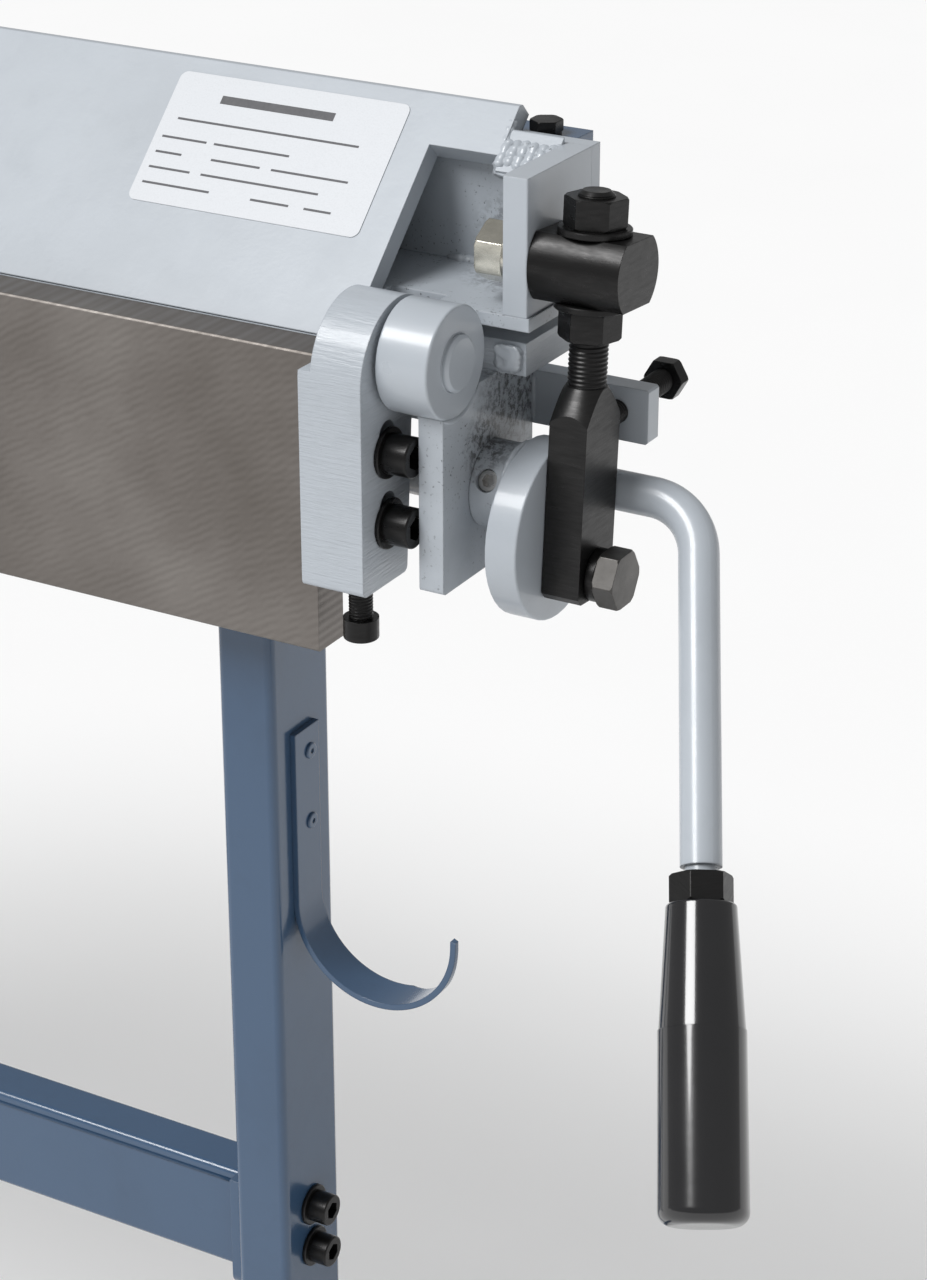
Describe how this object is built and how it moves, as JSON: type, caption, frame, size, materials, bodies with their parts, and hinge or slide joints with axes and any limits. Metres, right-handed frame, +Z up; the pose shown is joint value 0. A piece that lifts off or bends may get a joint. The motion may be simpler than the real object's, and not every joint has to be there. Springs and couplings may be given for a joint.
{
  "type": "sheet metal brake",
  "caption": "Manual folding brake on a two-leg stand: swinging leaf, sloped clamping beam, lever-driven crank shaft and end links.",
  "frame": {"origin": "middle of the four floor anchor holes, on the floor", "axes": "+X along the bend line to the operator's right, -Y towards the operator, +Z up"},
  "size_m": [1.6073, 0.506, 0.9667],
  "materials": {
    "blue_paint": "glossy blue stand paint",
    "grey_paint": "light grey paint, speckled",
    "ground_steel": "ground steel with arc marks",
    "black_steel": "blackened steel",
    "bright_steel": "turned bright steel",
    "zinc_yellow": "yellow zinc plate",
    "label_white": "blank white plate",
    "grip_black": "glossy black grip",
    "cap_black": "matt black plastic"
  },
  "bodies": {
    "frame": {"bed_plate": "grey_paint", "bed_front_web": "grey_paint", "bed_rear_web": "grey_paint", "leg_mounts": "blue_paint", "side_plate_right": "grey_paint", "side_plate_left": "grey_paint", "hinge_bushings": "grey_paint", "hinge_pins": "grey_paint", "stop_lugs": "grey_paint", "stop_bolts": "black_steel", "pivot_cheeks": "blue_paint", "pivot_pins": "bright_steel", "leg_right": "blue_paint", "leg_left": "blue_paint", "foot_right": "blue_paint", "foot_left": "blue_paint", "foot_caps": "cap_black", "crossbar": "blue_paint", "crossbar_flanges": "blue_paint", "leg_screws": "black_steel", "leg_washers": "black_steel", "hook": "blue_paint", "hook_rivets": "blue_paint"},
    "leaf": {"leaf_bar": "ground_steel", "leaf_bracket_right": "grey_paint", "leaf_bracket_left": "grey_paint", "bracket_screws": "black_steel", "bracket_washers": "black_steel", "adjusting_screws": "black_steel", "leaf_handle": "black_steel"},
    "beam": {"beam_front_plate": "grey_paint", "beam_base_plate": "grey_paint", "beam_rear_plate": "grey_paint", "end_plate_right": "grey_paint", "end_plate_left": "grey_paint", "beam_fillers": "grey_paint", "trunnion_bolts": "zinc_yellow", "trunnion_bolt_washers": "zinc_yellow", "rating_plate": "label_white", "rear_rail": "blue_paint", "rail_blocks": "blue_paint", "rail_bolts": "black_steel", "beam_arms": "blue_paint"},
    "cam": {"cam_shaft": "bright_steel", "cam_hubs": "grey_paint", "set_screws": "bright_steel", "crank_discs": "grey_paint", "crank_bolts": "black_steel", "crank_collars": "black_steel", "lever_bar": "grey_paint", "grip_nut": "black_steel", "grip": "grip_black"},
    "link_right": {"link_bar_right": "black_steel", "trunnion_right": "black_steel", "stud_nuts_right": "black_steel", "stud_washers_right": "black_steel"},
    "link_left": {"link_bar_left": "black_steel", "trunnion_left": "black_steel", "stud_nuts_left": "black_steel", "stud_washers_left": "black_steel"}
  },
  "joints": [
    {"name": "leaf_swing", "type": "hinge", "parent": "frame", "child": "leaf", "pos_m": [0, -0.05, 0.88], "axis": [-1, 0, 0], "range_deg": [0, 135]},
    {"name": "cam_turn", "type": "hinge", "parent": "frame", "child": "cam", "pos_m": [0, -0.02, 0.816], "axis": [-1, 0, 0], "range_deg": [0, 70]},
    {"name": "link_right_swing", "type": "hinge", "parent": "cam", "child": "link_right", "pos_m": [0.7137, -0.015, 0.781], "axis": [-1, 0, 0], "range_deg": [-49.42, 0]},
    {"name": "link_left_swing", "type": "hinge", "parent": "cam", "child": "link_left", "pos_m": [-0.7137, -0.015, 0.781], "axis": [-1, 0, 0], "range_deg": [-49.42, 0]},
    {"name": "beam_lift", "type": "hinge", "parent": "frame", "child": "beam", "pos_m": [0, 0.084, 0.748], "axis": [-1, 0, 0], "range_deg": [0, 4.23]}
  ],
  "couplings": [
    {"joint": "link_right_swing", "follows": "cam_turn", "ratio": -0.69884},
    {"joint": "link_left_swing", "follows": "cam_turn", "ratio": -0.69884},
    {"joint": "beam_lift", "follows": "cam_turn", "ratio": 0.05608}
  ]
}
